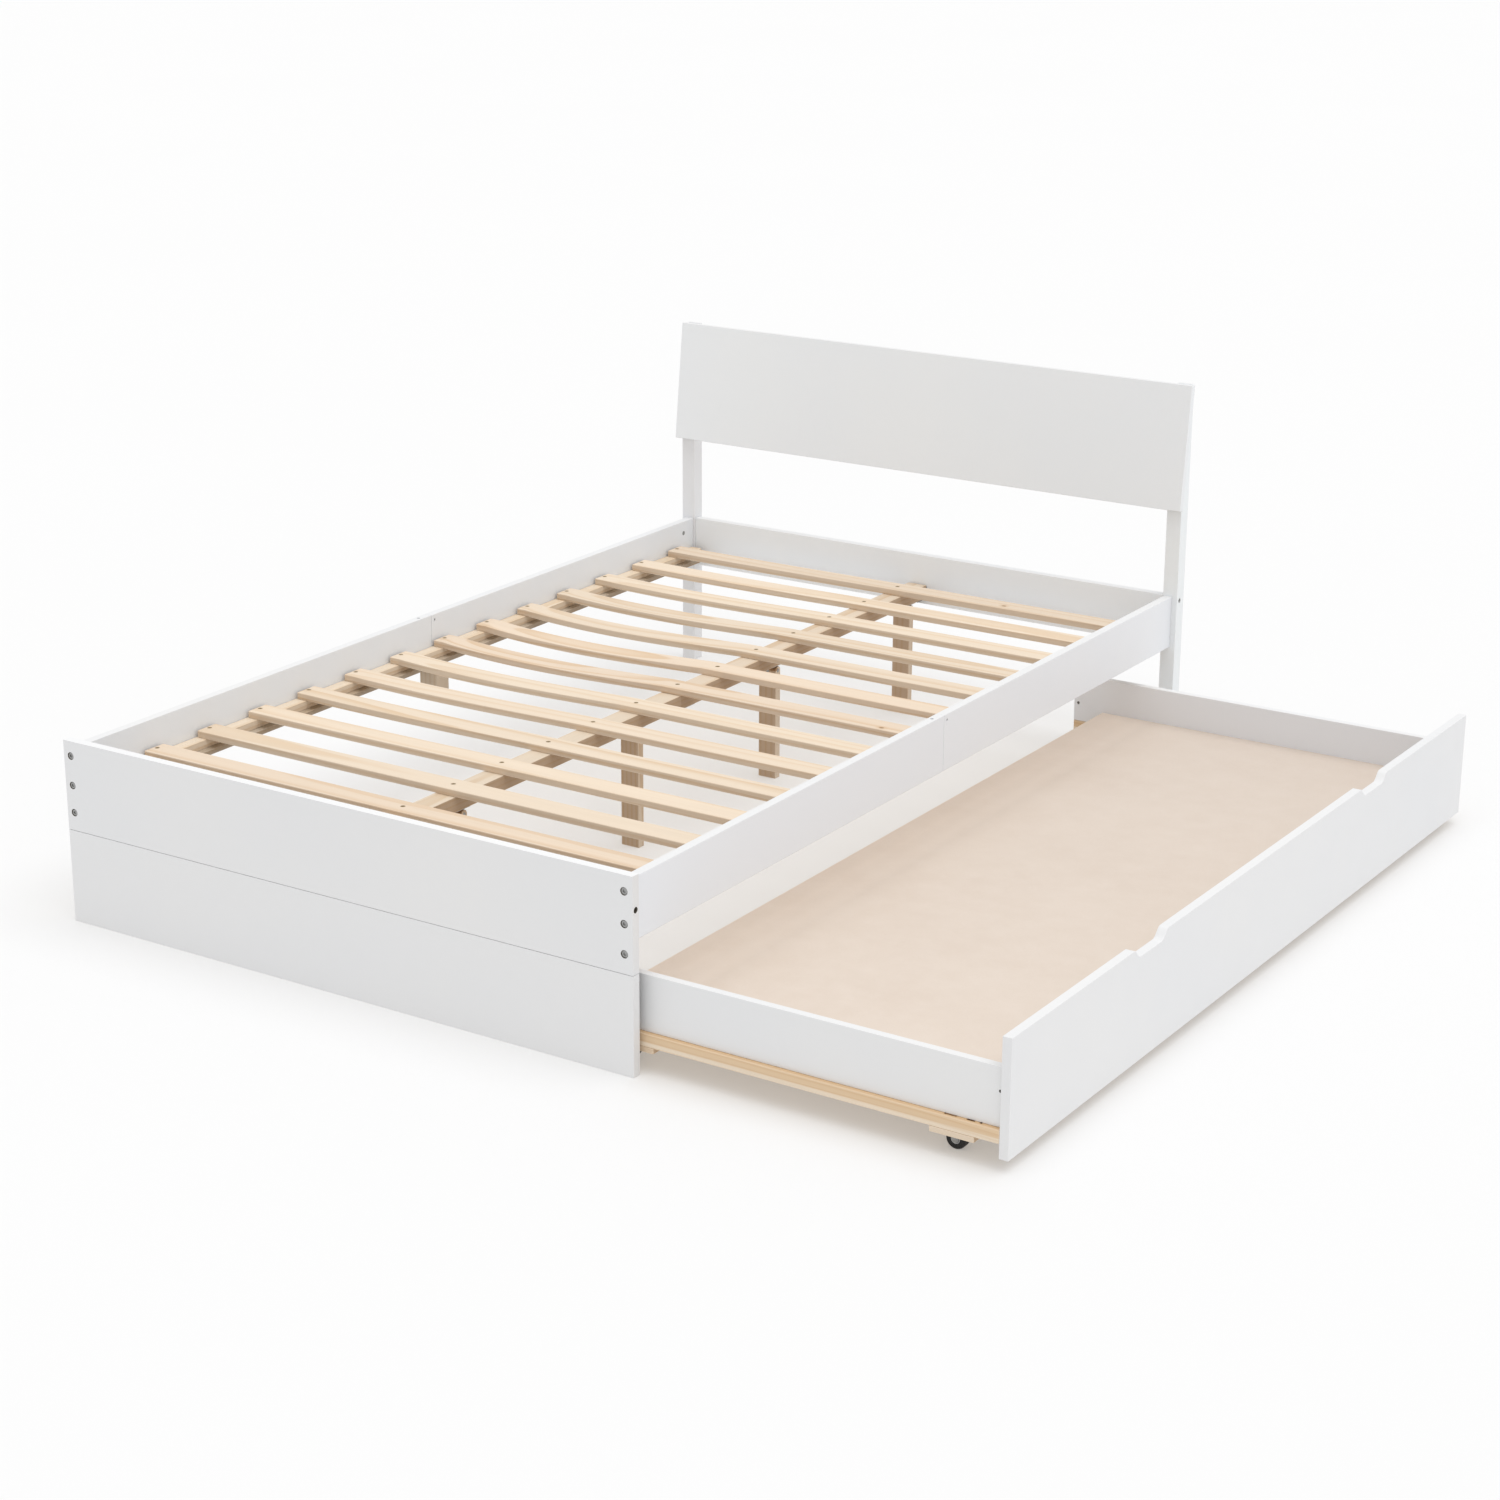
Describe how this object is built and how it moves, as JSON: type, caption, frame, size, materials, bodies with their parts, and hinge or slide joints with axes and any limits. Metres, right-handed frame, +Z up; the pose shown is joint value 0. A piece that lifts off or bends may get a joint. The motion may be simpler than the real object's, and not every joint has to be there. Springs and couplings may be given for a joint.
{
  "type": "trundle bed",
  "caption": "White wooden bed frame with a leaning headboard, pine slats and folding centre legs, and a low trundle on castors that rolls out from under one side",
  "frame": {"origin": "On the floor, under the middle of the whole part with the trundle pulled out", "axes": "X across the bed, pointing to the side the trundle pulls out of; Y from the footboard to the headboard; Z up"},
  "size_m": [1.959, 2.061, 0.802],
  "materials": {
    "white_paint": "satin",
    "pine": "matte",
    "birch_board": "matte",
    "zinc_steel": "satin",
    "castor_hub": "satin",
    "castor_tyre": "matte"
  },
  "bodies": {
    "bed": {"headboard_panel": "white_paint", "head_post_left": "white_paint", "head_post_right": "white_paint", "head_cross_rail": "white_paint", "side_rail_left_foot": "white_paint", "side_rail_left_head": "white_paint", "side_rail_right_foot": "white_paint", "side_rail_right_head": "white_paint", "footboard_upper_panel": "white_paint", "footboard_lower_panel": "white_paint", "ledger_left": "pine", "ledger_right": "pine", "slat_strip_left": "pine", "slat_strip_right": "pine", "slat_01": "pine", "slat_02": "pine", "slat_03": "pine", "slat_04": "pine", "slat_05": "pine", "slat_06": "pine", "slat_07": "pine", "slat_08": "pine", "slat_09": "pine", "slat_10": "pine", "slat_11": "pine", "slat_12": "pine", "slat_13": "pine", "centre_beam_foot": "pine", "centre_beam_head": "pine", "rail_joint_blocks": "pine", "footboard_joining_plates": "zinc_steel", "beam_splice_plates": "zinc_steel", "beam_hangers": "zinc_steel", "leg_hinges": "zinc_steel", "frame_bolts": "zinc_steel", "barrel_nuts": "zinc_steel", "wood_screws": "zinc_steel"},
    "trundle": {"trundle_front_panel": "white_paint", "trundle_end_panel_foot": "white_paint", "trundle_end_panel_head": "white_paint", "trundle_end_rail_foot": "pine", "trundle_end_rail_head": "pine", "trundle_inner_rail": "pine", "trundle_bearers": "pine", "castor_plates": "pine", "trundle_board": "birch_board", "trundle_bolts": "zinc_steel", "castor_frames": "zinc_steel"},
    "centre_leg_1": {"centre_leg_1": "pine"},
    "centre_leg_2": {"centre_leg_2": "pine"},
    "centre_leg_3": {"centre_leg_3": "pine"},
    "centre_leg_4": {"centre_leg_4": "pine"},
    "castor_inner_foot_wheel": {"castor_hub_inner_foot": "castor_hub", "castor_tyre_inner_foot": "castor_tyre"},
    "castor_front_foot_wheel": {"castor_hub_front_foot": "castor_hub", "castor_tyre_front_foot": "castor_tyre"},
    "castor_inner_head_wheel": {"castor_hub_inner_head": "castor_hub", "castor_tyre_inner_head": "castor_tyre"},
    "castor_front_head_wheel": {"castor_hub_front_head": "castor_hub", "castor_tyre_front_head": "castor_tyre"}
  },
  "joints": [
    {"name": "trundle_slide", "type": "slide", "parent": "bed", "child": "trundle", "axis": [1, 0, 0], "range_m": [-0.695, 0]},
    {"name": "centre_leg_1_fold", "type": "hinge", "parent": "bed", "child": "centre_leg_1", "pos_m": [-0.3385, -0.6855, 0.237], "axis": [-1, 0, 0], "range_deg": [0, 90]},
    {"name": "centre_leg_2_fold", "type": "hinge", "parent": "bed", "child": "centre_leg_2", "pos_m": [-0.3385, -0.1225, 0.237], "axis": [-1, 0, 0], "range_deg": [0, 90]},
    {"name": "centre_leg_3_fold", "type": "hinge", "parent": "bed", "child": "centre_leg_3", "pos_m": [-0.3385, 0.3815, 0.237], "axis": [-1, 0, 0], "range_deg": [0, 90]},
    {"name": "centre_leg_4_fold", "type": "hinge", "parent": "bed", "child": "centre_leg_4", "pos_m": [-0.3385, 0.9375, 0.237], "axis": [-1, 0, 0], "range_deg": [0, 90]},
    {"name": "castor_inner_foot_spin", "type": "hinge", "parent": "trundle", "child": "castor_inner_foot_wheel", "pos_m": [0.2425, -0.9605, 0.018], "axis": [0, 1, 0], "continuous": true},
    {"name": "castor_front_foot_spin", "type": "hinge", "parent": "trundle", "child": "castor_front_foot_wheel", "pos_m": [0.8675, -0.9605, 0.018], "axis": [0, 1, 0], "continuous": true},
    {"name": "castor_inner_head_spin", "type": "hinge", "parent": "trundle", "child": "castor_inner_head_wheel", "pos_m": [0.2425, 0.8635, 0.018], "axis": [0, 1, 0], "continuous": true},
    {"name": "castor_front_head_spin", "type": "hinge", "parent": "trundle", "child": "castor_front_head_wheel", "pos_m": [0.8675, 0.8635, 0.018], "axis": [0, 1, 0], "continuous": true}
  ],
  "couplings": [
    {"joint": "centre_leg_1_fold", "follows": "trundle_slide", "rad_per_m": -2.2601},
    {"joint": "centre_leg_2_fold", "follows": "trundle_slide", "rad_per_m": -2.2601},
    {"joint": "centre_leg_3_fold", "follows": "trundle_slide", "rad_per_m": -2.2601},
    {"joint": "centre_leg_4_fold", "follows": "trundle_slide", "rad_per_m": -2.2601},
    {"joint": "castor_inner_foot_spin", "follows": "trundle_slide", "rad_per_m": 55.556},
    {"joint": "castor_front_foot_spin", "follows": "trundle_slide", "rad_per_m": 55.556},
    {"joint": "castor_inner_head_spin", "follows": "trundle_slide", "rad_per_m": 55.556},
    {"joint": "castor_front_head_spin", "follows": "trundle_slide", "rad_per_m": 55.556}
  ]
}
